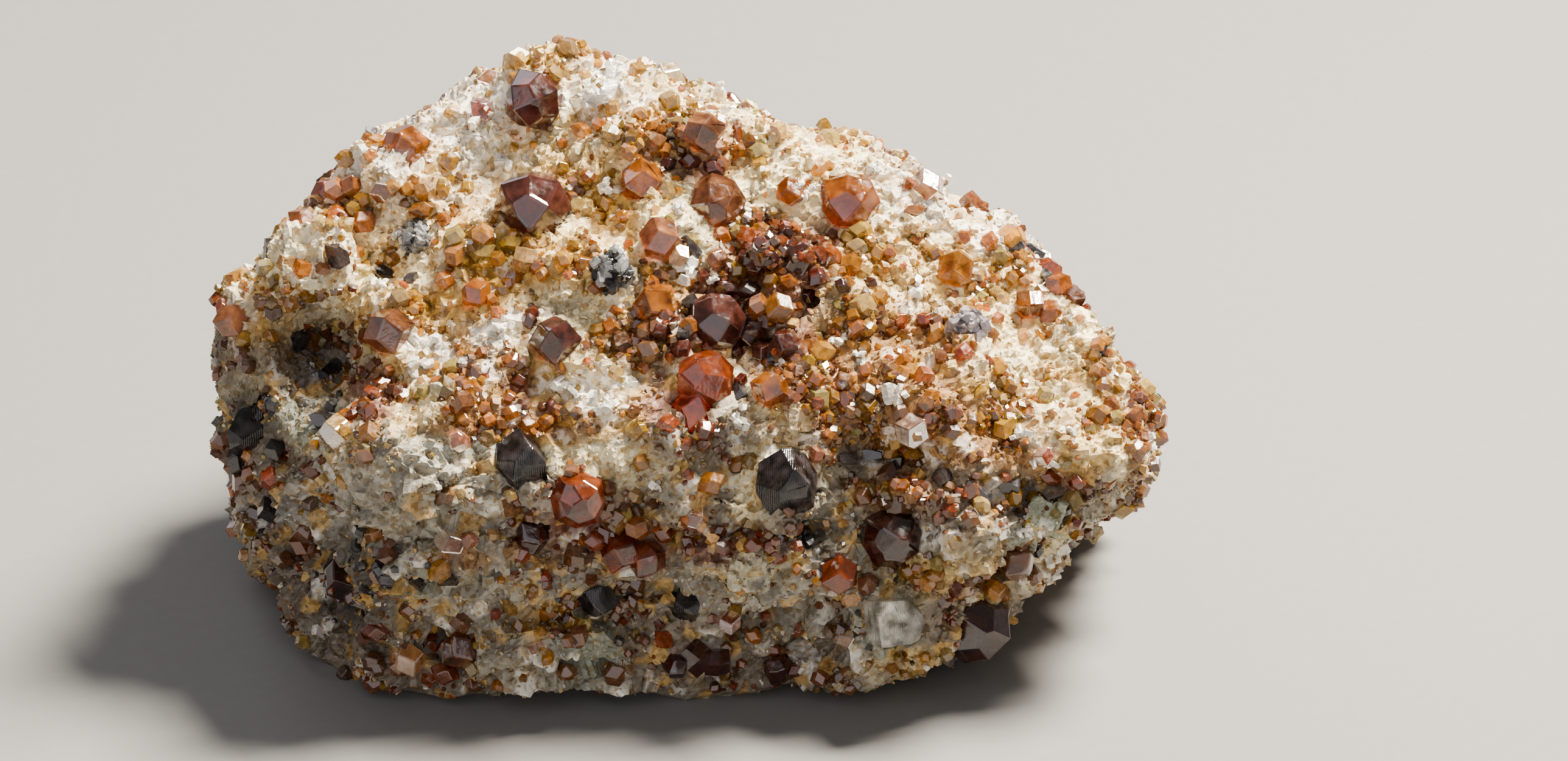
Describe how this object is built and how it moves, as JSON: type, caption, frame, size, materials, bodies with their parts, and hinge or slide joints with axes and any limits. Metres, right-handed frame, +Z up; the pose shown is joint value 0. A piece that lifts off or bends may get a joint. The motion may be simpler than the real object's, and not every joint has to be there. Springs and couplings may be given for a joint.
{
  "type": "garnet in matrix",
  "caption": "Hand specimen: orange, red and brown garnets with smoky quartz on a crumbly cream feldspar lump, trimmed flat below to rest on a shelf.",
  "frame": {"origin": "bottom centre of the specimen's box, on the plane of its flat foot", "axes": "+X to the viewer's right along the specimen's length, -Y towards the show side, +Z up"},
  "size_m": [0.072, 0.0548, 0.0427],
  "materials": {
    "feldspar_matrix": "matte",
    "feldspar_pale": "satin",
    "quartz_pale": "gloss",
    "quartz_smoky": "gloss",
    "garnet_bright": "gloss",
    "garnet_deep": "gloss"
  },
  "bodies": {
    "root": {"feldspar_back_block": "feldspar_pale", "feldspar_green_slab": "feldspar_pale", "feldspar_left_block": "feldspar_pale", "feldspar_lower_slab": "feldspar_pale", "feldspar_peak_block": "feldspar_pale", "feldspar_wedge": "feldspar_pale", "garnet_amber_ball": "garnet_bright", "garnet_back_large": "garnet_deep", "garnet_back_left": "garnet_bright", "garnet_back_orange": "garnet_bright", "garnet_back_right": "garnet_deep", "garnet_big_orange": "garnet_bright", "garnet_blood_red": "garnet_bright", "garnet_bottom_left": "garnet_deep", "garnet_bottom_right": "garnet_deep", "garnet_bright_red": "garnet_bright", "garnet_brown_purple": "garnet_deep", "garnet_brown_red": "garnet_bright", "garnet_brown_violet": "garnet_deep", "garnet_centre_facet": "garnet_deep", "garnet_centre_left": "garnet_bright", "garnet_crest_pink": "garnet_bright", "garnet_group_amber": "garnet_bright", "garnet_group_bottom": "garnet_deep", "garnet_group_brown": "garnet_bright", "garnet_group_left": "garnet_deep", "garnet_group_rim": "garnet_deep", "garnet_hexagonal_dark": "garnet_deep", "garnet_large_lower": "garnet_deep", "garnet_left_end": "garnet_bright", "garnet_left_orange": "garnet_bright", "garnet_left_purple": "garnet_deep", "garnet_left_red": "garnet_deep", "garnet_lobe_pink": "garnet_bright", "garnet_lower_dark": "garnet_deep", "garnet_orange_yellow": "garnet_bright", "garnet_pair_red": "garnet_bright", "garnet_peak_dark": "garnet_deep", "garnet_red_glow": "garnet_bright", "garnet_right_end": "garnet_bright", "garnet_right_slope": "garnet_bright", "garnet_rim_tall": "garnet_bright", "garnet_ringed_right": "garnet_bright", "garnet_small_orange": "garnet_bright", "garnet_upper_large": "garnet_deep", "garnet_upper_orange": "garnet_bright", "garnet_white_triangle": "garnet_deep", "matrix": "feldspar_matrix", "quartz_back_smoky": "quartz_smoky", "quartz_black_blue": "quartz_smoky", "quartz_black_green": "quartz_smoky", "quartz_black_left": "quartz_smoky", "quartz_blue_grey": "quartz_smoky", "quartz_lilac": "quartz_smoky", "quartz_pale_grey": "quartz_pale", "quartz_silver_grey": "quartz_smoky", "quartz_smoky_disc": "quartz_smoky", "quartz_sparkling": "quartz_smoky"}
  },
  "joints": []
}
